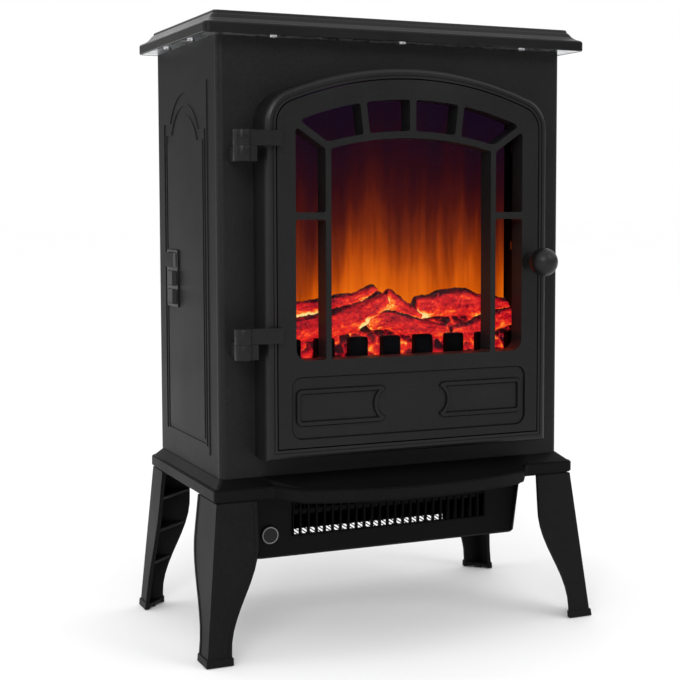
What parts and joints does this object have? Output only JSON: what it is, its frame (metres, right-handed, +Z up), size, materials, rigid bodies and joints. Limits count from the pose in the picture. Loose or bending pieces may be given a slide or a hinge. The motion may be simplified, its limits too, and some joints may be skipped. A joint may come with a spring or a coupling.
{
  "type": "electric stove heater",
  "caption": "Free-standing stove-shaped electric heater with an arched glazed door, a flame effect, side rocker switches and a fan heater under its base.",
  "frame": {"origin": "centre of the bounding box in X and Y, on the floor under the feet", "axes": "+X along the front, to the right of someone who faces the door; +Y into the depth; +Z up; the door faces -Y"},
  "size_m": [0.4122, 0.2838, 0.598],
  "materials": {
    "casing_plastic": "satin, fine texture",
    "casing_steel": "satin powder coat, fine texture",
    "bright_steel": "galvanised",
    "screw_steel": "bright",
    "door_plastic": "satin",
    "glass": "clear",
    "hinge_iron": "satin",
    "knob_gloss": "gloss",
    "rubber": "matt",
    "liner_black": "matt",
    "ember": "matt, lit from below",
    "flame": "frosted, lit from behind",
    "foil": "polished",
    "nylon": "matt",
    "motor_steel": "satin",
    "board_green": "lacquered",
    "grille_black": "satin",
    "trim_black": "satin",
    "rocker_grey": "satin",
    "heater_wire": "matt"
  },
  "bodies": {
    "cabinet": {"lid": "casing_plastic", "top_plate": "bright_steel", "lid_screws": "screw_steel", "front_panel": "casing_steel", "side_panel_left": "casing_steel", "side_panel_right": "casing_steel", "rear_cover": "casing_steel", "rear_screws": "screw_steel", "floor_plate": "bright_steel", "door_surround": "casing_plastic", "base_plinth": "casing_plastic", "leg_front_left": "casing_plastic", "leg_front_right": "casing_plastic", "leg_rear_left": "casing_plastic", "leg_rear_right": "casing_plastic", "leg_screws": "screw_steel", "foot_pads": "rubber", "latch_magnet": "screw_steel", "hinge_brackets": "hinge_iron", "hinge_pins": "screw_steel", "ember_tray": "liner_black", "ember_grate": "liner_black", "log_bed": "ember", "flame_screen": "flame", "liner_left": "liner_black", "liner_right": "liner_black", "liner_top": "liner_black", "spindle_bush": "nylon", "spindle_motor": "motor_steel", "lamp_board": "board_green", "heater_housing": "casing_plastic", "outlet_grille": "grille_black", "intake_guard": "grille_black", "housing_badge": "trim_black", "housing_screws": "screw_steel", "impeller_bush": "nylon", "blower_motor": "motor_steel", "scroll_plate": "bright_steel", "heating_element": "heater_wire", "thermal_cutout": "motor_steel", "switch_bezel": "trim_black", "terminal_block": "nylon", "cord_gland": "trim_black"},
    "door": {"door": "door_plastic", "door_glass": "glass", "glass_clips": "screw_steel", "strike_plate": "screw_steel", "door_knob": "knob_gloss", "knob_screw": "screw_steel"},
    "flame_switch": {"flame_switch": "rocker_grey"},
    "low_heat_switch": {"low_heat_switch": "rocker_grey"},
    "high_heat_switch": {"high_heat_switch": "rocker_grey"},
    "flame_spindle": {"flame_spindle": "foil"},
    "impeller": {"impeller": "grille_black"}
  },
  "joints": [
    {"name": "door_hinge", "type": "hinge", "parent": "cabinet", "child": "door", "pos_m": [-0.171, -0.1061, 0.2965], "axis": [0, 0, 1], "range_deg": [-105, 0]},
    {"name": "flame_rocker", "type": "hinge", "parent": "cabinet", "child": "flame_switch", "pos_m": [-0.1786, 0.0769, 0.3673], "axis": [0, 0, 1], "range_deg": [-14, 0]},
    {"name": "low_heat_rocker", "type": "hinge", "parent": "cabinet", "child": "low_heat_switch", "pos_m": [-0.1786, 0.0769, 0.3488], "axis": [0, 0, 1], "range_deg": [0, 14]},
    {"name": "high_heat_rocker", "type": "hinge", "parent": "cabinet", "child": "high_heat_switch", "pos_m": [-0.1786, 0.0769, 0.3303], "axis": [0, 0, 1], "range_deg": [0, 14]},
    {"name": "spindle_turn", "type": "hinge", "parent": "cabinet", "child": "flame_spindle", "pos_m": [0, 0.0369, 0.294], "axis": [1, 0, 0], "continuous": true},
    {"name": "impeller_turn", "type": "hinge", "parent": "cabinet", "child": "impeller", "pos_m": [-0.004, -0.0111, 0.1405], "axis": [1, 0, 0], "continuous": true}
  ]
}
